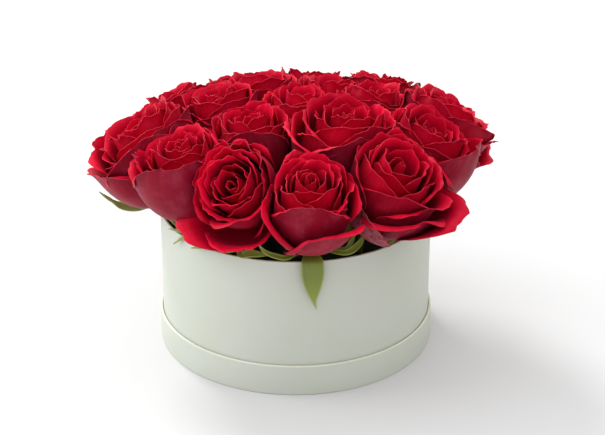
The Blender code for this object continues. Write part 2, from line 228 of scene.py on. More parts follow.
class HATBOX_PG_roses(bpy.types.PropertyGroup):
    """Sizes and colours of the rose heads."""
    petals: bpy.props.IntProperty(
        name="Petals", description="Petals in each head", default=24, min=8, max=60)
    head_height: length_setting(
        "Head height", "Height of a head of normal width over its seat", 67 * MM, least=20 * MM)
    thickness: length_setting(
        "Petal thickness", "Thickness at the petal's foot", 0.55 * MM, least=0.1 * MM)
    ruffle: length_setting("Ruffle", "Height of the waves along a petal's edge", 1.3 * MM)
    face: colour_setting(
        "Face", "Colour of a petal's inner face near its lip", (0.74, 0.001, 0.031))
    # Painted shade: the dark colour that the faces take towards their foot and deep in the head
    heart: colour_setting(
        "Heart", "Colour of the petals deep in the head", (0.36, 0.001, 0.018))
    back: colour_setting("Back", "Colour of a petal's outer face", (0.31, 0.006, 0.025))
    inner_back: colour_setting(
        "Inner back", "Colour of the outer face of the petals inside the cup", (0.55, 0.001, 0.023))
    # Partly the backs' own silvery bloom, partly painted highlight where the backs catch the light
    bloom: colour_setting("Bloom", "Silvery pink bloom on the backs", (0.45, 0.050, 0.088))
    # Painted highlight: the pale line stands for light caught by the thin petal edge
    edge: colour_setting("Edge", "Pale line along a petal's edge", (0.70, 0.05, 0.09))
    burnt: colour_setting(
        "Dried edge", "Colour of the spots where an edge has dried", (0.10, 0.004, 0.014))
    withered: colour_setting(
        "Withered", "Colour of the blotches on a dried petal", (0.34, 0.085, 0.11))


class HATBOX_PG_greens(bpy.types.PropertyGroup):
    """Sizes and colours of the stems and sepals."""
    length: length_setting("Sepal length", "Usual length of a sepal", 29 * MM, least=5 * MM)
    width: length_setting("Sepal width", "Widest part of a sepal", 8.5 * MM, least=1 * MM)
    thickness: length_setting("Sepal thickness", "Thickness of a sepal", 0.7 * MM, least=0.1 * MM)
    fresh: colour_setting("Fresh green", "Colour of a sepal's middle", (0.19, 0.22, 0.016))
    pale: colour_setting("Pale green", "Colour of a sepal's margin and tip", (0.32, 0.36, 0.07))
    stem: colour_setting("Stem green", "Colour of the stems", (0.07, 0.15, 0.03))


class HATBOX_PG_stage(bpy.types.PropertyGroup):
    """Floor, lights and camera."""
    floor: colour_setting("Floor", "Colour of the floor", (0.62, 0.62, 0.62))
    horizon: number_setting("Horizon", "Strength of the light from the sides", 0.55, min=0.0)
    sky: number_setting("Overhead", "Strength of the light from overhead", 1.6, min=0.0)
    key: number_setting(
        "Key light", "Strength of the broad light from behind on the left", 1.8, min=0.0)
    fill: number_setting(
        "Fill light", "Power of the soft lamp at the left", 10.0, min=0.0, unit="POWER")
    lens: number_setting("Lens", "Focal length in millimetres", 107.1, min=10.0)
    distance: length_setting(
        "Camera distance", "Camera's distance in front of the box", 1.2064, least=0.2)
    height: length_setting("Camera height", "Camera's height over the floor", 0.667)
    pitch: number_setting(
        "Camera pitch", "How far the camera looks down", 0.445, subtype="ANGLE")
    yaw: number_setting(
        "Camera yaw", "How far the camera looks to the right", 0.0042, subtype="ANGLE")


class Shader:
    """A material's node tree, built from small named steps."""

    def __init__(self, name):
        self.material = bpy.data.materials.new(name)
        self.material.use_nodes = True
        self.tree = self.material.node_tree
        self.surface = self.tree.nodes["Principled BSDF"]

    def node(self, kind, **values):
        made = self.tree.nodes.new(kind)
        for key, value in values.items():
            setattr(made, key, value)
        return made

    def link(self, source, target):
        self.tree.links.new(source, target)

    def feed(self, socket, value):
        """Link an output to a socket, or set the socket to a plain value."""
        if isinstance(value, bpy.types.NodeSocket):
            self.link(value, socket)
        elif isinstance(value, tuple) and (len(value), len(socket.default_value)) == (3, 4):
            socket.default_value = (*value, 1.0)
        else:
            socket.default_value = value

    def place(self):
        """Object coordinates, in metres."""
        return self.node("ShaderNodeTexCoord").outputs["Object"]

    def attributes(self, *names):
        """A mesh's own values, one output for each name."""
        return [self.node("ShaderNodeAttribute", attribute_name=name).outputs["Fac"]
                for name in names]

    def scaled(self, vector, scale):
        """A vector multiplied by another, part by part."""
        made = self.node("ShaderNodeVectorMath", operation="MULTIPLY")
        self.feed(made.inputs[0], vector)
        made.inputs[1].default_value = scale
        return made.outputs[0]

    def join(self, x, y, z=0.0):
        """A vector from its three parts."""
        made = self.node("ShaderNodeCombineXYZ")
        for socket, value in zip(made.inputs, (x, y, z)):
            self.feed(socket, value)
        return made.outputs[0]

    def split(self, vector):
        """The three parts of a vector."""
        made = self.node("ShaderNodeSeparateXYZ")
        self.link(vector, made.inputs[0])
        return made.outputs

    def noise(self, vector, scale, detail=3.0, roughness=0.5):
        """Cloudy noise from 0 to 1 with that many lumps to the metre of the vector."""
        made = self.node("ShaderNodeTexNoise")
        self.link(vector, made.inputs["Vector"])
        made.inputs["Scale"].default_value = scale
        made.inputs["Detail"].default_value = detail
        made.inputs["Roughness"].default_value = roughness
        return made.outputs["Fac"]

    def between(self, value, low, high, to_low=0.0, to_high=1.0, smooth=False):
        """A value carried from one range to another and held at the range's ends."""
        made = self.node("ShaderNodeMapRange", clamp=True)
        made.interpolation_type = "SMOOTHSTEP" if smooth else "LINEAR"
        self.feed(made.inputs["Value"], value)
        for name, number in (("From Min", low), ("From Max", high),
                             ("To Min", to_low), ("To Max", to_high)):
            made.inputs[name].default_value = number
        return made.outputs["Result"]

    def times(self, value, factor):
        """A value multiplied by a plain number."""
        made = self.node("ShaderNodeMath", operation="MULTIPLY")
        self.link(value, made.inputs[0])
        made.inputs[1].default_value = factor
        return made.outputs[0]

    def mix(self, share, first, second, blend="MIX"):
        """Two colours mixed by a share."""
        made = self.node("ShaderNodeMix", data_type="RGBA", blend_type=blend)
        self.feed(made.inputs["Factor"], share)
        self.feed(made.inputs[6], first)
        self.feed(made.inputs[7], second)
        return made.outputs[2]

    def bump(self, height, distance, strength, under=None):
        """Fine relief of a height over a distance, laid on another relief where one is given."""
        made = self.node("ShaderNodeBump")
        made.inputs["Strength"].default_value = strength
        made.inputs["Distance"].default_value = distance
        self.link(height, made.inputs["Height"])
        if under:
            self.link(under, made.inputs["Normal"])
        return made.outputs["Normal"]

    def finish(self, **values):
        """Feed the surface's own sockets, named with underscores for spaces."""
        for key, value in values.items():
            socket = key.replace("_", " ").title().replace("Ior", "IOR")
            self.feed(self.surface.inputs[socket], value)
        return self.material


def dimmed(colour, *weights):
    """A colour with its parts multiplied by one weight, or by one each."""
    return tuple(part * weight for part, weight in zip(colour, weights * (3 // len(weights))))


def paper_finish(name, colour, rim):
    """Matt wrapping paper: fine fibres, faint clouds in the tone and a painted highlight along the
    rim.
    """
    shade = Shader(name)
    place = shade.place()
    fibres = shade.noise(shade.scaled(place, (1.0, 1.0, 0.35)), 2600, detail=4.0, roughness=0.65)
    clouds = shade.noise(place, 22)
    base = shade.mix(shade.between(clouds, 0.35, 0.65), colour, dimmed(colour, 0.97, 0.98, 0.94))
    base = shade.mix(shade.between(fibres, 0.62, 0.80, 0.0, 0.5), base, dimmed(colour, 0.90))
    # Painted highlight: a pale band just under the rim's top, where the rounded edge catches the
    # light
    painted_rim_highlight = shade.between(shade.split(place)[2], rim - 0.9 * MM, rim - 0.2 * MM, 0.0, 0.4)
    base = shade.mix(painted_rim_highlight, base, (0.86, 0.85, 0.66))
    rough = shade.between(fibres, 0.3, 0.7, 0.50, 0.64)
    normal = shade.bump(fibres, 0.05 * MM, 0.35)
    return shade.finish(base_color=base, roughness=rough, normal=normal)


def liner_finish(name, colour):
    """Moulded film: smooth, slightly glossy, with drawn vertical marks."""
    shade = Shader(name)
    place = shade.place()
    marks = shade.noise(shade.scaled(place, (1.0, 1.0, 0.08)), 400, detail=2.0)
    base = shade.mix(shade.between(marks, 0.3, 0.7), colour, dimmed(colour, 1.3))
    rough = shade.between(marks, 0.3, 0.7, 0.28, 0.40)
    return shade.finish(base_color=base, roughness=rough, normal=shade.bump(marks, 0.1 * MM, 0.3))


def foam_finish(name, colour):
    """Wet floral foam: crumbly open cells, darker where the water stands."""
    shade = Shader(name)
    place = shade.place()
    cells = shade.noise(place, 900, detail=5.0, roughness=0.7)
    wet = shade.noise(place, 35, detail=2.0)
    base = shade.mix(shade.between(wet, 0.4, 0.6), colour, dimmed(colour, 0.45))
    base = shade.mix(shade.between(cells, 0.5, 0.75), base, dimmed(colour, 2.2))
    rough = shade.between(wet, 0.35, 0.65, 0.95, 0.55)
    return shade.finish(base_color=base, roughness=rough, normal=shade.bump(cells, 0.8 * MM, 0.8))


def petal_finish(name, roses):
    """Velvet petal: bright face, dull back whose bloom is partly painted highlight, painted shade
    in the heart, fan of veins and a painted highlight along the edge.
    """
    shade = Shader(name)
    across, up, back, edge, luck, painted_depth_shade, rank, dried = shade.attributes(
        "across", "up", "back", "edge", "luck", "painted_depth_shade", "rank", "dried")
    place = shade.place()
    patches = shade.noise(place, 70, roughness=0.55)
    fan = shade.join(shade.times(across, 26.0), shade.times(up, 2.2), shade.times(luck, 37.0))
    veins = shade.noise(fan, 1.0, detail=4.0, roughness=0.6)
    velvet = shade.noise(place, 1500, detail=2.0, roughness=0.6)
    # Painted shade: each face darkens towards its foot, and the inner petals' faces darken low in
    # the head
    face = shade.mix(shade.between(up, 0.35, 0.85, smooth=True), roses["heart"], roses["face"])
    face = shade.mix(painted_depth_shade, face, roses["heart"])
    # Bloom patches on the backs: partly silvery bloom, partly painted highlight
    behind = shade.mix(shade.between(patches, 0.48, 0.70, 0.0, 0.50), roses["back"], roses["bloom"])
    behind = shade.mix(shade.between(rank, 0.45, 0.9, smooth=True), roses["inner_back"], behind)
    base = shade.mix(back, face, behind)
    dark = shade.mix(1.0, base, (0.62, 0.45, 0.66), "MULTIPLY")
    base = shade.mix(shade.between(veins, 0.38, 0.66, 0.0, 0.55), base, dark)
    base = shade.mix(shade.between(luck, 0.0, 1.0, 0.0, 0.60), base, dark)
    blotches = shade.noise(place, 260, detail=4.0, roughness=0.7)
    withered = shade.mix(shade.between(blotches, 0.36, 0.56), roses["burnt"], roses["withered"])
    base = shade.mix(shade.times(dried, 0.85), base, withered)
    # Painted highlight along the edge, where the thin petal catches and lets through the light,
    # with dried spots in places
    rim = shade.between(edge, 0.10 * MM, 0.60 * MM, 0.30, 0.0, smooth=True)
    edge_highlight_and_dried_spots = shade.mix(shade.between(patches, 0.56, 0.66), roses["edge"], roses["burnt"])
    base = shade.mix(rim, base, edge_highlight_and_dried_spots)
    rough = shade.between(velvet, 0.35, 0.65, 0.40, 0.55)
    normal = shade.bump(veins, 0.5 * MM, 0.35)
    normal = shade.bump(velvet, 0.06 * MM, 0.30, under=normal)
    return shade.finish(base_color=base, roughness=rough, normal=normal,
                        sheen_weight=0.05, sheen_roughness=0.4, sheen_tint=(1.0, 0.20, 0.40),
                        specular_ior_level=0.10)


def green_finish(name, greens):
    """Waxy leaf skin: pale margins and tips, fine lengthwise veins, darker stem."""
    shade = Shader(name)
    across, up, leaf, edge = shade.attributes("across", "up", "leaf", "edge")
    place = shade.place()
    lines = shade.noise(shade.join(shade.times(across, 14.0), shade.times(up, 3.0)), 1.0)
    clouds = shade.noise(place, 120)
    blade = shade.mix(shade.between(lines, 0.35, 0.65, 0.0, 0.6), greens["fresh"], greens["stem"])
    blade = shade.mix(shade.between(up, 0.45, 1.0, 0.0, 0.75), blade, greens["pale"])
    blade = shade.mix(shade.between(edge, 0.2 * MM, 1.2 * MM, 0.8, 0.0), blade, greens["pale"])
    bark = shade.mix(shade.between(clouds, 0.4, 0.62), greens["stem"], greens["fresh"])
    base = shade.mix(leaf, bark, blade)
    rough = shade.between(clouds, 0.3, 0.7, 0.36, 0.5)
    normal = shade.bump(lines, 0.3 * MM, 0.4)
    normal = shade.bump(shade.noise(place, 1100, detail=2.0), 0.08 * MM, 0.4, under=normal)
    return shade.finish(base_color=base, roughness=rough, normal=normal, specular_ior_level=0.5)


def floor_finish(name, colour):
    """Plain pale sweep."""
    shade = Shader(name)
    tone = shade.noise(shade.place(), 3, detail=2.0)
    base = shade.mix(shade.between(tone, 0.3, 0.7), colour, dimmed(colour, 0.99))
    return shade.finish(base_color=base, roughness=0.9, specular_ior_level=0.1)


def grid_quads(rows, columns, wrap=False):
    """Corner numbers of a grid's quads, wound so that along-row x up-row points out."""
    row = np.arange(rows - 1)[:, None]
    column = np.arange(columns if wrap else columns - 1)[None, :]
    right = (column + 1) % columns
    quads = np.stack([row * columns + column, row * columns + right,
                      (row + 1) * columns + right, (row + 1) * columns + column], axis=-1)
    return quads.reshape(-1, 4)


def put_mesh(name, points, quads, materials, values=None, face_material=None):
    """Make an object at the origin from arrays of points and quads, all faces smooth."""
    mesh = bpy.data.meshes.new(name)
    mesh.vertices.add(len(points))
    mesh.vertices.foreach_set("co", np.ascontiguousarray(points, np.float32).ravel())
    mesh.loops.add(quads.size)
    mesh.loops.foreach_set("vertex_index", quads.astype(np.int32).ravel())
    mesh.polygons.add(len(quads))
    mesh.polygons.foreach_set("loop_start", np.arange(0, quads.size, 4, dtype=np.int32))
    mesh.polygons.foreach_set("use_smooth", np.ones(len(quads), bool))
    for material in materials:
        mesh.materials.append(material)
    if face_material is not None:
        mesh.polygons.foreach_set("material_index", face_material.astype(np.int32))
    mesh.update(calc_edges=True)
    for key, value in (values or {}).items():
        mesh.attributes.new(key, "FLOAT", "POINT").data.foreach_set(
            "value", value.astype(np.float32).ravel())
    thing = bpy.data.objects.new(name, mesh)
    bpy.context.scene.collection.objects.link(thing)
    return thing


def crease(thing, side):
    """Mark as sharp the edges along a sheet's border, with both ends on the same side of it."""
    mesh = thing.data
    pairs = np.zeros(len(mesh.edges) * 2, np.int32)
    mesh.edges.foreach_get("vertices", pairs)
    ends = side[pairs.reshape(-1, 2)]
    sharp = (ends[:, 0] == ends[:, 1]) & (ends[:, 0] > 0)
    mesh.attributes.new("sharp_edge", "BOOLEAN", "EDGE").data.foreach_set("value", sharp)


def close_poles(thing):
    """Merge the points that fall together at a pole or a tip."""
    grid = bmesh.new()
    grid.from_mesh(thing.data)
    bmesh.ops.remove_doubles(grid, verts=grid.verts, dist=0.01 * MM)
    grid.to_mesh(thing.data)
    grid.free()


def fit_piece(thing, slot, *nodes):
    """Hang a piece on the body it rides on and hide the nodes that it stands for."""
    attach(thing, BODY)
    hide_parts(*nodes)
    return thing


def rounded(corners, rounding, steps=5):
    """A closed profile with each corner cut by a quadratic curve.

    Each corner P with neighbours A and B becomes (1-s)^2 P1 + 2 s (1-s) P + s^2 P2, where P1 and P2
    lie the rounding's length from P towards A and B, or half way where that is nearer.
    """
    corner = np.array(corners, float)
    before = np.roll(corner, 1, axis=0) - corner
    after = np.roll(corner, -1, axis=0) - corner
    near = np.linalg.norm(before, axis=1, keepdims=True)
    far = np.linalg.norm(after, axis=1, keepdims=True)
    start = corner + before / near * np.minimum(rounding, near / 2)
    end = corner + after / far * np.minimum(rounding, far / 2)
    s = np.linspace(0, 1, steps)[None, :, None]
    curve = ((1 - s) ** 2 * start[:, None] + 2 * s * (1 - s) * corner[:, None]
             + s ** 2 * end[:, None])
    return curve.reshape(-1, 2)


def turned_cup(name, outer, inner, bottom, floor, top, box, materials):
    """A cup turned about Z: profile (radius, height) carried round the circle.

    The outer wall swells by the paper's overlap over a narrow strip at the back, so that the lap
    shows as a fine upright step: radius + overlap * lap, where lap rises evenly from 0 to 1 with
    the bearing and drops back to 0 at the paper's end.
    """
    corners = [(POLE_RADIUS, floor), (inner, floor), (inner, top), (outer, top), (outer, bottom),
               (POLE_RADIUS, bottom)]
    profile = rounded(corners, box.rounding)
    profile[:, 0] = np.maximum(profile[:, 0], POLE_RADIUS)
    steps = CUP_STEPS
    bearing = np.linspace(0, math.tau, steps, endpoint=False)
    radius = profile[:, :1] + 0 * bearing[None, :]
    lap = np.clip((bearing - LAP_START) / LAP_RISE, 0, 1) * (bearing < LAP_END)
    on_wall = profile[:, :1] > outer - box.rounding * 0.5
    radius = np.where(on_wall, radius + box.overlap * lap, radius)
    points = np.stack([radius * np.cos(bearing), radius * np.sin(bearing),
                       profile[:, 1:] + 0 * bearing[None, :]], axis=-1)
    rows = len(profile)
    quads = grid_quads(rows, steps, wrap=True)
    seam = np.stack([(rows - 1) * steps + np.arange(steps),
                     (rows - 1) * steps + (np.arange(steps) + 1) % steps,
                     (np.arange(steps) + 1) % steps, np.arange(steps)], axis=-1)
    quads = np.concatenate([quads, seam])[:, ::-1]
    centre_radius = np.hypot(points[..., 0], points[..., 1]).reshape(-1)[quads].mean(axis=1)
    height = points[..., 2].reshape(-1)[quads].mean(axis=1)
    # Faces of the inner wall take the second material, which on the box is the painted shade
    inside = (centre_radius < inner + 0.2 * MM) & (height > bottom + 1 * MM)
    thing = put_mesh(name, points.reshape(-1, 3), quads, materials, face_material=inside)
    close_poles(thing)
    return thing


def shell(points, thickness, values):
    """Give sheets their thickness: inner and outer grids joined round the border.

    points has the shape (sheets, rows, columns, 3). The normal is the cross product of the grid's
    two differences, and each face lies half the thickness from the sheet. Returns points, quads,
    values and the border side of each point: 0 inside the sheet, 1 on the border of the inner
    grid and 2 on that of the outer one.
    """
    sheets, rows, columns, _ = points.shape
    along = np.gradient(points, axis=2)
    upward = np.gradient(points, axis=1)
    normal = np.cross(along, upward)
    normal /= np.maximum(np.linalg.norm(normal, axis=-1, keepdims=True), 1e-12)
    half = thickness[..., None] / 2
    both = np.stack([points - normal * half, points + normal * half], axis=1)
    size = rows * columns
    outer = grid_quads(rows, columns)
    border = np.concatenate([
        np.arange(columns - 1), np.arange(rows - 1) * columns + columns - 1,
        (rows - 1) * columns + np.arange(columns - 1, 0, -1), np.arange(rows - 1, 0, -1) * columns])
    following = np.roll(border, -1)
    rim = np.stack([following + size, border + size, border, following], axis=-1)
    one = np.concatenate([outer[:, ::-1], outer + size, rim])
    quads = (one[None] + np.arange(sheets)[:, None, None] * 2 * size).reshape(-1, 4)
    side = np.zeros((sheets, 2, size), np.int32)
    side[:, 0, border] = 1
    side[:, 1, border] = 2
    doubled = {key: np.broadcast_to(value[:, None], both.shape[:-1]).reshape(-1)
               for key, value in values.items()}
    doubled["back"] = np.broadcast_to(
        np.array([0.0, 1.0])[None, :, None, None], both.shape[:-1]).reshape(-1)
    return both.reshape(-1, 3), quads, doubled, side.reshape(-1)


def seat_frame(rose):
    """Matrix whose origin is the seat under the petals and whose +Z is the rose's own axis."""
    bearing = math.radians(rose.bearing)
    place = Matrix.Translation((rose.reach * MM * math.sin(bearing),
                                -rose.reach * MM * math.cos(bearing), rose.height * MM))
    lean = Matrix.Rotation(math.radians(rose.lean), 4, "X")
    return place @ Matrix.Rotation(bearing, 4, "Z") @ lean


def cell_planes(index):
    """Planes that part a rose from the others, in its own frame: rows of normal and distance."""
    own = seat_frame(PLANTING[index])
    middle = own @ Vector((0, 0, CELL_HEIGHT))
    planes = []
    for other, rose in enumerate(PLANTING):
        if other == index:
            continue
        across = seat_frame(rose) @ Vector((0, 0, CELL_HEIGHT)) - middle
        share = PLANTING[index].half_width / (PLANTING[index].half_width + rose.half_width)
        normal = own.to_3x3().inverted() @ across.normalized()
        distance = normal.dot(Vector((0, 0, CELL_HEIGHT))) + across.length * share - CELL_MARGIN
        planes.append((*normal, distance))
    return np.array(planes)


def room_around(points, planes, widest):
    """Radius of each point, and the room that its cell leaves that way.

    The room is the sum of (cosine to a plane / distance to it) ** power over the planes, plus
    (1 / widest) ** power, raised to -1 / power: the least distance, with rounded corners.
    """
    radius = np.hypot(points[:, 0], points[:, 1])
    direction = points[:, :2] / np.maximum(radius, 1e-9)[:, None]
    along = direction @ planes[:, :2].T
    distance = planes[:, 3][None, :] - points[:, 2][:, None] * planes[:, 2][None, :]
    closeness = np.maximum(along, 0.0) / np.maximum(distance, 1 * MM)
    total = (closeness ** CELL_ROUNDNESS).sum(axis=1) + (1 / widest) ** CELL_ROUNDNESS
    return radius, total ** (-1 / CELL_ROUNDNESS)


def press_petals(points, planes, widest):
    """Squeeze petals into the rose's cell: r becomes r * (1 - loss * (r / widest) ** power).

    The loss is 1 - room / widest. Where it is large, the power is held down to limit / loss - 1, so
    that r still grows outwards.
    """
    flat = points.reshape(-1, 3)
    radius, room = room_around(flat, planes, widest)
    loss = 1 - room / widest
    power = np.minimum(PRESS_POWER, PRESS_LIMIT / np.maximum(loss, 0.1) - 1)
    part = np.minimum(radius / widest, 1.0)
    pressed = flat.copy()
    pressed[:, :2] *= (1 - loss * part ** power)[:, None]
    return pressed.reshape(points.shape)


def to_world(points, matrix):
    """Points of any grid carried by a 4x4 matrix."""
    return points @ np.array(matrix.to_3x3()).T + np.array(matrix.translation)


def by_rank(rank, table):
    """A row of the petal tables, read at each petal's rank with straight lines between knots."""
    return np.interp(rank, RANKS, table)


def petal_habits(rose, guards, count, luck):
    """Ranks and habits of one rose's petals, innermost first, one number for each petal.

    Most are the table's value at the petal's rank times 1 + a small chance. The more open the rose
    is, the wider, lower and more rolled its outer lips are. The guards then take the places of the
    outermost petals.
    """
    def chance(low, high):
        return luck.uniform(low, high, count)

    order = np.arange(count)
    rank = order / (count - 1)
    blown = 1 + (rose.open - USUAL_OPEN) * 0.22 * rank
    habits = {
        "belly": by_rank(rank, BELLY) * (1 + chance(-0.06, 0.06)),
        "lip_radius": by_rank(rank, LIP_RADIUS) * blown * (1 + chance(-0.08, 0.08)),
        "lip_height": (by_rank(rank, LIP_HEIGHT) * (1 + chance(-0.07, 0.05))
                       * (1 - 0.08 * (rose.open - 0.5) * rank)),
        "roll": by_rank(rank, ROLL) * (0.55 + 0.8 * rose.open) * (1 + chance(-0.3, 0.3)),
        "half_angle": by_rank(rank, HALF_ANGLE) * (1 + chance(-0.10, 0.10)),
        "skew": chance(-0.12, 0.12),
        "dried": np.zeros(count),
        "bearing": rose.turn + order * GOLDEN_TURN + chance(-9, 9),
    }
    for place, guard in enumerate(guards, start=1):
        facing = guard._replace(bearing=guard.bearing - 90 - rose.bearing)
        for key, value in facing._asdict().items():
            habits[key][count - place] = value
    return rank, habits


def rolled_back(radius, height, turn):
    """Lines of radius and height turned outwards by an angle at each point, at their true length.

    A step (dr, dh) becomes (dr cos a + dh sin a, dh cos a - dr sin a), where a is the mean of the
    turn at its two ends, and the steps are summed up again from the foot.
    """
    step_r = np.diff(radius, axis=1)
    step_h = np.diff(height, axis=1)
    turned = (turn[:, 1:] + turn[:, :-1]) / 2
    new_r = step_r * np.cos(turned) + step_h * np.sin(turned)
    new_h = step_h * np.cos(turned) - step_r * np.sin(turned)
    return [np.concatenate([line[:, :1], line[:, :1] + np.cumsum(step, axis=1)], axis=1)
            for line, step in ((radius, new_r), (height, new_h))]


def petal_sheets(rose, guards, roses, luck):
    """Middle surfaces of all the petals of one rose, in the rose's own frame.

    v runs up each petal from 0 at its foot to 1 at its lip, u across it from -1 to 1, and t from 0
    for the innermost petal to 1 for the outermost.

    Lip: the share of its length that a petal loses at u is fall = rounding * |u| ** 3, less two
    bells that leave a blunt point at the centre, plus wide and fine notches and the skew's drop.
    Line: a cubic Bezier curve of radius and height from the foot over the belly to the lip, read
    at s = v * (1 - fall * v).
    Roll: with w from 0 at the start of the rolled band to 1 at the lip, the line turns outwards
    by roll * corner * (1 - fall) * w ** power, where corner = 1 + sign(roll) * t / 4 *
    |u - centre| ** 2 - 0.55 * |u| ** 4.
    Sweep: bearing + u * half angle, which is narrower at the foot and at the lip.
    Waves: on the radius go a ruffle that grows with s ** 4, folds that grow with s ** 2, a tuck of
    one side under the next petal that grows with u * v, and a flare of the corners. The heart
    leans to one side.
    """
    count = roses.petals
    rank, habits = petal_habits(rose, guards, count, luck)
    habit = {key: value[:, None, None] for key, value in habits.items()}
    t = rank[:, None, None]
    v = (1 - (1 - np.linspace(0, 1, PETAL_ROWS)) ** LIP_CROWDING)[None, :, None]
    u = np.linspace(-1, 1, PETAL_COLUMNS)[None, None, :]
    half_width = rose.half_width * MM
    tall = (1 + half_width / NORMAL_HALF_WIDTH) / 2
    belly, lip_radius = habit["belly"] * half_width, habit["lip_radius"] * half_width
    lip_height = habit["lip_height"] * roses.head_height * tall
    roll, half_angle = np.radians(habit["roll"]), np.radians(habit["half_angle"])
    skew = habit["skew"]

    def chance(low, high):
        return luck.uniform(low, high, count)[:, None, None]

    def waves(low, high):
        return math.pi * (chance(low, high) * u + chance(0, 2))

    centre = chance(-0.30, 0.30)
    point = 0.05 * np.exp(-((u - centre) / 0.15) ** 2) * t
    point = point + 0.05 * t * np.exp(-((u - centre) / 0.5) ** 2)
    wide_notch = chance(0.0, 0.035) * np.cos(waves(1.5, 3.0))
    fine_notch = chance(0.0, 0.014) * np.cos(waves(5.0, 8.0))
    drop = np.abs(skew) * (1 - np.sign(skew) * u) / 2
    fall = (chance(0.20, 0.28) * (0.4 + 0.6 * t) * np.abs(u) ** 3 - point + wide_notch
            + fine_notch + drop + 0.03)
    fall = np.minimum(fall, LARGEST_FALL)

    s = v * (1 - fall * v)
    foot_height = (FOOT_HEIGHT + FOOT_RISE * (1 - t)) * MM * tall
    controls = (
        (FOOT_RADIUS * MM + 0 * t, foot_height),
        (belly * 1.38, foot_height + (4 + 9 * (1 - t)) * MM * tall),
        (belly * (1.20 - 0.08 * t), lip_height * (0.80 + 0.22 * t)),
        (lip_radius, lip_height),
    )
    weights = ((1 - s) ** 3, 3 * (1 - s) ** 2 * s, 3 * (1 - s) * s ** 2, s ** 3)
    radius = sum(weight * control[0] for weight, control in zip(weights, controls))
    height = sum(weight * control[1] for weight, control in zip(weights, controls))

    band = np.interp(t, (0, 0.4, 1), (0.12, 0.18, 0.36)) + 0.10 * t * np.abs(u - centre) ** 1.5
    w = np.clip(1 - (1 - s / (1 - fall)) / band, 0, 1)
    corner = 1 + 0.25 * t * np.abs(u - centre) ** 2 * np.sign(roll) - 0.55 * np.abs(u) ** 4
    turn_back = roll * corner * np.clip(1 - fall, 0, 1) * w ** ROLL_POWER
    radius, height = rolled_back(radius, height, turn_back)

    growth = np.sin(np.minimum(s / 0.6, 1.0) * math.pi / 2)
    half_angle = half_angle * (0.4 + 0.6 * growth) * (1 - 0.30 * v ** 5)
    around = np.radians(habit["bearing"]) + u * half_angle

    long_waves = np.sin(waves(1.0, 2.4))
    short_waves = np.sin(waves(3.0, 6.5))
    folds = np.sin(waves(2.0, 4.0))
    ruffle = (roses.ruffle * (0.35 + 0.9 * t) * (0.3 + 1.4 * rose.open) * s ** 4
              * (long_waves + 0.6 * short_waves))
    ruffle = ruffle + FOLD * MM * t * s ** 2 * folds
    tuck = (0.7 + 0.5 * t) * MM * u * v
    flare = (FLARE * MM * t ** 0.7 * np.clip(np.abs(u) * 2 - 1, 0, 1) ** 2
             * np.clip(s * 1.4 - 0.4, 0, 1))
    radius = np.maximum(radius + ruffle + tuck + flare, 0.6 * MM)
    height = height + ruffle * 0.5
    sheets = np.stack([radius * np.cos(around), radius * np.sin(around), height], axis=-1)
    lean = luck.uniform(0, math.tau)
    shift = HEART_LEAN * MM * (1 - t) ** 2 * np.clip(height / (40 * MM), 0, 1)
    sheets[..., :2] += shift[..., None] * np.array([math.cos(lean), math.sin(lean)])

    length = lip_height * 1.15
    edge = np.minimum((1 - v) * length, (1 - np.abs(u)) * half_angle * np.maximum(radius, 2 * MM))
    full = np.zeros_like(radius)
    # Painted shade deep in the head: how far each point of an inner petal darkens, more inwards and
    # lower down
    painted_depth_shade = full + np.clip(0.75 - t * 1.6, 0, 0.75) * np.clip((0.85 - s) * 3, 0, 1)
    values = {"across": full + u, "up": s + full, "edge": edge, "luck": full + chance(0, 1),
              "painted_depth_shade": painted_depth_shade, "rank": full + t, "dried": full + habit["dried"]}
    thickness = roses.thickness * (1 - 0.35 * np.clip(s, 0, 1)) + full
    return sheets, thickness, values


def seated(index, sheets):
    """Sheets of one rose, pressed into its cell and carried to its seat."""
    rose = PLANTING[index]
    pressed = press_petals(sheets, cell_planes(index), WIDEST * rose.half_width * MM)
    return to_world(pressed, seat_frame(rose))


def make_bloom(index, roses, finish):
    """One rose head: spiral of petal shells, pressed into its cell and set on its seat."""
    luck = np.random.default_rng(BLOOM_SEED + index)
    sheets, thickness, values = petal_sheets(PLANTING[index], GUARDS.get(index, ()), roses, luck)
    points, quads, values, side = shell(seated(index, sheets), thickness, values)
    thing = put_mesh(f"rose_{index + 1:02d}_petals", points, quads, [finish], values)
    crease(thing, side)
    return fit_piece(thing, "red_petal", f"rose_{index + 1:02d}_bloom")


def stem_foot(rose):
    """Where the stem ends in the foam: reach less a share of drop * tan(lean), on its bearing."""
    drop = rose.height * MM - STEM_BEND_HEIGHT
    reach = rose.reach * MM - drop * math.tan(math.radians(rose.lean)) * STEM_DRAW_IN
    bearing = math.radians(rose.bearing)
    return Vector((reach * math.sin(bearing), -reach * math.cos(bearing), STEM_FOOT))


def smooth_path(points, steps):
    """Catmull-Rom curve through points of any width, with the ends doubled."""
    point = np.array(points, float)
    padded = np.concatenate([2 * point[:1] - point[1:2], point, 2 * point[-1:] - point[-2:-1]])
    place = np.linspace(0, len(point) - 1, steps)
    span = np.minimum(place.astype(int), len(point) - 2)
    s = (place - span)[:, None]
    a, b, c, d = (padded[span + shift] for shift in range(4))
    return 0.5 * (2 * b + (c - a) * s + (2 * a - 5 * b + 4 * c - d) * s ** 2
                  + (3 * b - a - 3 * c + d) * s ** 3)


def tube(path, radius, side, sides=14):
    """A round tube: a circle in the plane of side and side x tangent, carried along the path."""
    tangent = np.gradient(path, axis=0)
    tangent /= np.linalg.norm(tangent, axis=1, keepdims=True)
    other = np.cross(tangent, side)
    other /= np.linalg.norm(other, axis=1, keepdims=True)
    angle = np.linspace(0, math.tau, sides, endpoint=False)
    ring = (np.cos(angle)[None, :, None] * side[None, None, :]
            + np.sin(angle)[None, :, None] * other[:, None, :])
    points = path[:, None, :] + ring * radius[:, None, None]
    return points.reshape(-1, 3), grid_quads(len(path), sides, wrap=True)


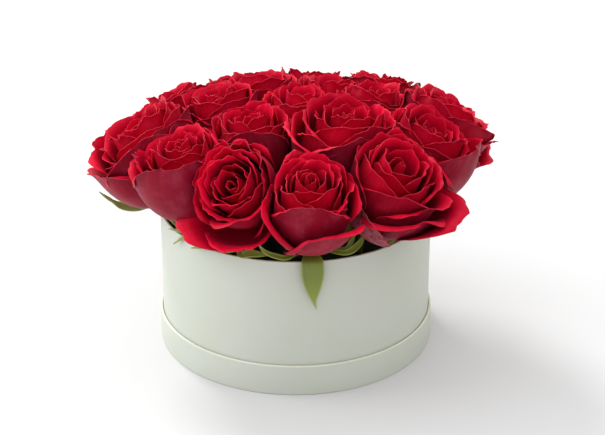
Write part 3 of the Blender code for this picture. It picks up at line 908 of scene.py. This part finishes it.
def stem_tube(rose):
    """Stem from the closed top of the swollen seat, round its bend, down into the foam.

    A round tube along a smooth path through the seat's profile, the bend and the foot.
    """
    matrix = seat_frame(rose)
    axis = (matrix.to_3x3() @ Vector((0, 0, 1))).normalized()
    seat = matrix.translation
    foot = stem_foot(rose)
    knots = [(seat + axis * rise * MM, radius) for rise, radius in SEAT_PROFILE]
    last = knots[-1][0]
    bend = Vector((foot.x, foot.y, STEM_BEND_HEIGHT))
    if last.z - bend.z > 10 * MM:
        knots.append(((last + bend) / 2 - axis * 1.0 * MM, STEM_RADIUS))
    knots += [(bend - Vector((0, 0, 3 * MM)), STEM_RADIUS),
              (foot + Vector((0, 0, 0.5 * MM)), STEM_RADIUS), (foot, 2.0), (foot, 0.01)]
    table = np.array([(*place, radius * MM) for place, radius in knots])
    path = smooth_path(table[:-1], 60)
    path = np.concatenate([path, table[-1:]])
    bearing = math.radians(rose.bearing)
    side = np.array([math.cos(bearing), math.sin(bearing), 0.0])
    centre = path[:, :3].copy()
    centre[-1] = centre[-2] - np.array([0, 0, 0.01 * MM])
    return tube(centre[::-1], np.maximum(path[::-1, 3], 0.005 * MM), side)


# The sepals that the front view shows one by one: the rose's place in PLANTING, then knots of
# bearing round the box in degrees, radius, height and half width in millimetres
SEPALS = (
    (9, ((-88, 99, 107.2, 2.8), (-89, 115, 100, 3.8), (-90, 129, 101, 4.6), (-90, 138, 107, 2.8),
         (-90, 145, 113, 0.2))),
    (10, ((-56, 92, 108, 3.0), (-64, 95, 109, 3.4), (-72, 97, 110, 2.0), (-77, 98, 111, 0.2))),
    (10, ((-45, 92, 107.5, 1.4), (-54, 98, 108, 1.4), (-63, 102, 105, 0.2))),
    (10, ((-47, 98, 107.5, 1.8), (-51, 100, 107, 2.0), (-57, 104, 98, 0.2))),
    (10, ((-28, 94, 108, 2.6), (-37, 100, 108, 2.8), (-45, 104, 103, 0.2))),
    (0, ((-24, 95, 107.6, 2.4), (-18, 97, 108, 2.8), (-10, 97, 108.5, 0.2))),
    (1, ((-3, 98, 108, 1.9), (-8, 101, 110, 1.9), (-12, 103, 114, 1.3), (-14.5, 104, 120, 0.2))),
    (1, ((20, 97, 108, 2.0), (27, 96, 111.5, 2.2), (32, 92, 117.5, 0.2))),
    (1, ((21, 92, 108, 1.5), (25, 91, 112, 1.7), (28.6, 88, 117.5, 0.2))),
    (1, ((6.4, 100.5, 107, 7.0), (6.4, 103.6, 102.8, 7.9), (6.5, 103.8, 94, 7.4),
         (6.8, 103.4, 84, 4.6), (7.1, 103.0, 76, 1.5), (8.0, 102.6, 69, 0.15))),
    (2, ((49, 95, 108, 1.8), (40, 97, 107.8, 2.2), (34, 95, 110.5, 0.2))),
)


def sepal_sheets(index, greens, luck):
    """Middle surfaces of a rose's sepals that aren't in SEPALS, in the rose's own frame.

    A sepal's middle line starts at the seat and its slope changes as start + bend * v + curl * v^3,
    summed up along its length. It is a strip whose half width is width / 2 * sin(pi * (0.16 +
    0.84 v)) ** 0.8 with a pointed tip, and its margins rise into a shallow gutter by (0.8 u ** 2 +
    0.5 |u|) mm * sin(pi v). A rose with routed sepals spreads the others over its far side.
    """
    rose = PLANTING[index]
    own = sum(1 for place, _ in SEPALS if place == index)
    count = SEPAL_COUNT - own
    rows, columns = 22, 7
    v = np.linspace(0, 1, rows)[None, :, None]
    u = np.linspace(-1, 1, columns)[None, None, :]

    def chance(low, high):
        return luck.uniform(low, high, count)[:, None, None]

    order = np.arange(count)[:, None, None]
    length = greens.length * chance(0.85, 1.25)
    slope = np.radians(chance(5, 25) - chance(60, 120) * v + chance(20, 95) * v ** 3)
    step = length / (rows - 1)
    out = SEPAL_RING * MM + np.cumsum(np.cos(slope), axis=1) * step - np.cos(slope[:, :1]) * step
    rise = -SEPAL_DROP * MM + np.cumsum(np.sin(slope), axis=1) * step - np.sin(slope[:, :1]) * step
    half = greens.width / 2 * np.maximum(np.sin(math.pi * (0.16 + 0.84 * v)), 0.0) ** 0.8
    half = np.maximum(half, SEPAL_NARROWEST)
    sideways = u * half + chance(-0.25, 0.25) * length * v ** 2
    rise = rise + (0.8 * MM * u ** 2 + 0.5 * MM * np.abs(u)) * np.sin(math.pi * v)
    out = out + 0 * u
    angle = rose.turn * 0.5 + order * 360 / SEPAL_COUNT + chance(-9, 9)
    if own:
        angle = 90 + (order - (count - 1) / 2) * 55 + 0 * angle
    around = np.radians(angle)
    sheets = np.stack([out * np.cos(around) - sideways * np.sin(around),
                       out * np.sin(around) + sideways * np.cos(around), rise + 0 * u], axis=-1)
    full = np.zeros(sheets.shape[:-1])
    values = {"across": full + u, "up": full + v, "leaf": full + 1.0,
              "edge": full + (1 - np.abs(u)) * half}
    return sheets, full + greens.thickness, values


def clear_of_box(points):
    """Keep sepals off the board: over the rim within its circle, and outside the wall beyond it.

    The lowest height allowed is level just over the rim. It falls away with the square of the way
    beyond the wall's outer face, and evenly towards the middle of the box inside the rim.
    """
    over_rim, past_wall, fall_width, fall_depth = (part * MM for part in (1.2, 0.6, 2.5, 70))
    ledge, slope_width, slope_depth = (part * MM for part in (12, 4, 30))
    no_limit = -1.0
    past_rim = np.hypot(points[..., 0], points[..., 1]) - BOX_HIGH.x
    beyond = np.clip((past_rim - past_wall) / fall_width, 0, 1)
    lowest = BOX_HIGH.z + over_rim - fall_depth * beyond ** 2
    near = np.clip((past_rim + ledge) / slope_width, 0, 1)
    lowest = np.where(near > 0, lowest - (1 - near) * slope_depth, no_limit)
    lifted = points.copy()
    lifted[..., 2] = np.maximum(points[..., 2], lowest)
    return lifted


def routed_sepal(rose, knots, greens):
    """A sepal from the rose's seat along knots round the box, as a strip of the knots' half widths.

    The strip's side is the cross product of its tangent and a facing of 0.6 outwards and 0.8 up,
    and its margins rise towards that facing by half width * (0.10 u ** 2 + 0.06 |u|) * sin(pi v).
    """
    bearing, reach, height, half = np.array(knots).T
    bearing = np.radians(bearing)
    route = np.stack([reach * np.sin(bearing), -reach * np.cos(bearing), height], axis=1) * MM
    matrix = seat_frame(rose)
    seat = np.array(matrix.translation) - np.array(matrix.to_3x3().col[2]) * SEPAL_DROP * MM
    aim = (route[0] - seat) * np.array([1.0, 1.0, 0.0])
    seat = seat + aim / np.linalg.norm(aim) * SEPAL_RING * MM
    line = np.concatenate([np.concatenate([seat, [1.6 * MM]])[None],
                           np.column_stack([route, half * MM])])
    rows, columns = 34, 9
    line = smooth_path(line, rows)
    u = np.linspace(-1, 1, columns)[None, :]
    v = np.linspace(0, 1, rows)[:, None]
    middle = line[:, :3]
    tangent = np.gradient(middle, axis=0)
    facing = middle * np.array([1.0, 1.0, 0.0])
    facing = 0.6 * facing / np.linalg.norm(facing, axis=1, keepdims=True) + np.array([0, 0, 0.8])
    side = np.cross(tangent, facing)
    side /= np.linalg.norm(side, axis=1, keepdims=True)
    rise = np.cross(side, tangent)
    rise /= np.linalg.norm(rise, axis=1, keepdims=True)
    half = np.maximum(line[:, 3:], SEPAL_NARROWEST)
    gutter = (0.10 * half * u ** 2 + 0.06 * half * np.abs(u)) * np.sin(math.pi * v)
    points = (middle[:, None] + side[:, None] * (u * half)[..., None]
              + rise[:, None] * gutter[..., None])
    full = np.zeros((1, rows, columns))
    values = {"across": full + u, "up": full + v, "leaf": full + 1.0,
              "edge": full + (1 - np.abs(u)) * half}
    return points[None], full + greens.thickness, values


def make_green(index, greens, finish):
    """One stem with its swollen seat and sepals, in world place."""
    rose = PLANTING[index]
    luck = np.random.default_rng(GREEN_SEED + index)
    stem, stem_quads = stem_tube(rose)
    sheets, thickness, values = sepal_sheets(index, greens, luck)
    parts = [(clear_of_box(seated(index, sheets)), thickness, values)]
    parts += [routed_sepal(rose, knots, greens) for place, knots in SEPALS if place == index]
    points, quads, side = [stem], [stem_quads], [np.zeros(len(stem), np.int32)]
    table = {key: [np.zeros(len(stem))] for key in ("across", "up", "leaf", "edge", "back")}
    for part in parts:
        corners, faces, marks, border = shell(*part)
        quads.append(faces + sum(len(block) for block in points))
        points.append(corners)
        side.append(border)
        for key, column in table.items():
            column.append(marks[key])
    merged = {key: np.concatenate(column) for key, column in table.items()}
    thing = put_mesh(f"rose_{index + 1:02d}_green", np.concatenate(points),
                     np.concatenate(quads), [finish], merged)
    crease(thing, np.concatenate(side))
    return fit_piece(thing, "green_stem", f"rose_{index + 1:02d}_stem")


class HATBOX_OT_board(bpy.types.Operator):
    """Turn the round box and the lid under it, with rounded board edges and a paper finish."""
    bl_idname = "hatbox.board"
    bl_label = "Board box and lid"

    def execute(self, context):
        box = context.scene.hatbox_box
        paper = paper_finish("sage_paper", tuple(box.paper), BOX_HIGH.z)
        lid_paper = paper_finish("sage_lid_paper", tuple(box.paper), LID_HIGH.z)
        # Painted shade: the box's inner wall takes a dark copy of the paper finish
        lining = paper_finish("painted_shade_inner_wall", tuple(box.lining), BOX_HIGH.z)
        outer = BOX_HIGH.x
        wall = turned_cup("box_wall", outer, outer - box.board, BOX_LOW.z, BOX_LOW.z + box.board,
                          BOX_HIGH.z, box, [paper, lining])
        fit_piece(wall, "ivory_board", "hat_box_body")
        outer = LID_HIGH.x
        lid = turned_cup("lid_tray", outer, outer - box.board, LID_LOW.z, LID_LOW.z + box.board,
                         LID_HIGH.z, box, [lid_paper, lid_paper])
        fit_piece(lid, "ivory_board", "hat_box_lid")
        return {"FINISHED"}


class HATBOX_OT_filling(bpy.types.Operator):
    """Finish the waterproof liner and the foam block that the frame already holds."""
    bl_idname = "hatbox.filling"
    bl_label = "Liner and foam"

    def execute(self, context):
        box = context.scene.hatbox_box
        finishes = {"liner": liner_finish("liner_film", tuple(box.liner)),
                    "floral_foam": foam_finish("wet_foam_crumb", tuple(box.foam))}
        for name, finish in finishes.items():
            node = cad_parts[name]
            for slot in node.material_slots:
                slot.material = finish
        return {"FINISHED"}


class HATBOX_OT_roses(bpy.types.Operator):
    """Open the eighteen rose heads, petal by petal, each in its own cell of the dome."""
    bl_idname = "hatbox.roses"
    bl_label = "Rose heads"

    def execute(self, context):
        roses = context.scene.hatbox_roses
        colours = {key: tuple(getattr(roses, key))
                   for key in ("face", "heart", "back", "inner_back", "bloom", "edge", "burnt",
                               "withered")}
        finish = petal_finish("rose_petal", colours)
        for index in range(len(PLANTING)):
            make_bloom(index, roses, finish)
        return {"FINISHED"}


class HATBOX_OT_greens(bpy.types.Operator):
    """Grow the stems, the swollen seats and the sepals under the heads."""
    bl_idname = "hatbox.greens"
    bl_label = "Stems and sepals"

    def execute(self, context):
        greens = context.scene.hatbox_greens
        colours = {key: tuple(getattr(greens, key)) for key in ("fresh", "pale", "stem")}
        finish = green_finish("rose_leaf", colours)
        for index in range(len(PLANTING)):
            make_green(index, greens, finish)
        return {"FINISHED"}


class HATBOX_OT_stage(bpy.types.Operator):
    """Lay the floor and set the soft lights and the camera."""
    bl_idname = "hatbox.stage"
    bl_label = "Floor, lights and camera"

    def execute(self, context):
        stage = context.scene.hatbox_stage
        corners = np.array([(x * FLOOR_REACH, y * FLOOR_REACH, -FLOOR_DROP)
                            for x, y in ((-1, -1), (1, -1), (1, 1), (-1, 1))])
        floor = put_mesh("floor", corners, np.array([[0, 1, 2, 3]]),
                         [floor_finish("pale_floor", tuple(stage.floor))])
        world = bpy.data.worlds.new("surround")
        world.use_nodes = True
        light_from_above(world.node_tree, stage.sky, stage.horizon)
        context.scene.world = world
        key = add_lamp("key", "SUN", KEY_PLACE, stage.key)
        key.data.angle = KEY_ANGLE
        fill = add_lamp("fill", "AREA", FILL_PLACE, stage.fill)
        fill.data.size = FILL_SIZE
        fill.data.color = FILL_TINT
        camera = bpy.data.objects.new("camera", bpy.data.cameras.new("camera"))
        context.scene.collection.objects.link(camera)
        camera.data.lens = stage.lens
        camera.data.sensor_width = SENSOR_WIDTH
        camera.location = (0.0, -stage.distance, stage.height)
        camera.rotation_euler = (math.pi / 2 - stage.pitch, 0.0, -stage.yaw)
        context.scene.camera = camera
        context.scene.view_settings.view_transform = "Standard"
        return {"FINISHED"}


def light_from_above(tree, overhead, horizon):
    """Surrounding light that grows smoothly from the horizon's strength to the one overhead."""
    backdrop = tree.nodes["Background"]
    backdrop.inputs["Color"].default_value = (1.0, 1.0, 1.0, 1.0)
    direction = tree.nodes.new("ShaderNodeTexCoord")
    parts = tree.nodes.new("ShaderNodeSeparateXYZ")
    tree.links.new(direction.outputs["Generated"], parts.inputs[0])
    rise = tree.nodes.new("ShaderNodeMapRange")
    tree.links.new(parts.outputs["Z"], rise.inputs["Value"])
    rise.interpolation_type = "SMOOTHSTEP"
    for name, number in (("From Min", 0.0), ("From Max", 1.0), ("To Min", horizon),
                         ("To Max", overhead)):
        rise.inputs[name].default_value = number
    tree.links.new(rise.outputs["Result"], backdrop.inputs["Strength"])


def add_lamp(name, kind, place, power):
    """A lamp at a place, turned to look at the lamps' target."""
    light = bpy.data.lights.new(name, kind)
    light.energy = power
    lamp = bpy.data.objects.new(name, light)
    lamp.location = place
    aim = Vector(LAMP_TARGET) - Vector(place)
    lamp.rotation_euler = aim.to_track_quat("-Z", "Y").to_euler()
    bpy.context.scene.collection.objects.link(lamp)
    return lamp


class HATBOX_PT_panel(bpy.types.Panel):
    """Lists the sizes, the colours and the building steps in the sidebar."""
    bl_idname = "HATBOX_PT_panel"
    bl_label = "Rose Hat Box"
    bl_space_type = "VIEW_3D"
    bl_region_type = "UI"
    bl_category = "Rose Hat Box"

    def draw(self, context):
        for group, operators in STEPS:
            box = self.layout.box()
            settings = getattr(context.scene, group)
            for key in settings.bl_rna.properties.keys():
                if key not in ("rna_type", "name"):
                    box.prop(settings, key)
            for operator in operators:
                box.operator(operator)


STEPS = (
    ("hatbox_box", ("hatbox.board", "hatbox.filling")),
    ("hatbox_roses", ("hatbox.roses",)),
    ("hatbox_greens", ("hatbox.greens",)),
    ("hatbox_stage", ("hatbox.stage",)),
)
GROUPS = (
    ("hatbox_box", HATBOX_PG_box),
    ("hatbox_roses", HATBOX_PG_roses),
    ("hatbox_greens", HATBOX_PG_greens),
    ("hatbox_stage", HATBOX_PG_stage),
)
CLASSES = (HATBOX_PG_box, HATBOX_PG_roses, HATBOX_PG_greens, HATBOX_PG_stage, HATBOX_OT_board,
           HATBOX_OT_filling, HATBOX_OT_roses, HATBOX_OT_greens, HATBOX_OT_stage, HATBOX_PT_panel)


def register():
    for kind in CLASSES:
        bpy.utils.register_class(kind)
    for name, group in GROUPS:
        setattr(bpy.types.Scene, name, bpy.props.PointerProperty(type=group))


def unregister():
    for name, _ in GROUPS:
        delattr(bpy.types.Scene, name)
    for kind in reversed(CLASSES):
        bpy.utils.unregister_class(kind)


def main():
    register()
    bpy.ops.hatbox.board()
    bpy.ops.hatbox.filling()
    bpy.ops.hatbox.roses()
    bpy.ops.hatbox.greens()
    bpy.ops.hatbox.stage()


if __name__ == "__main__":
    main()
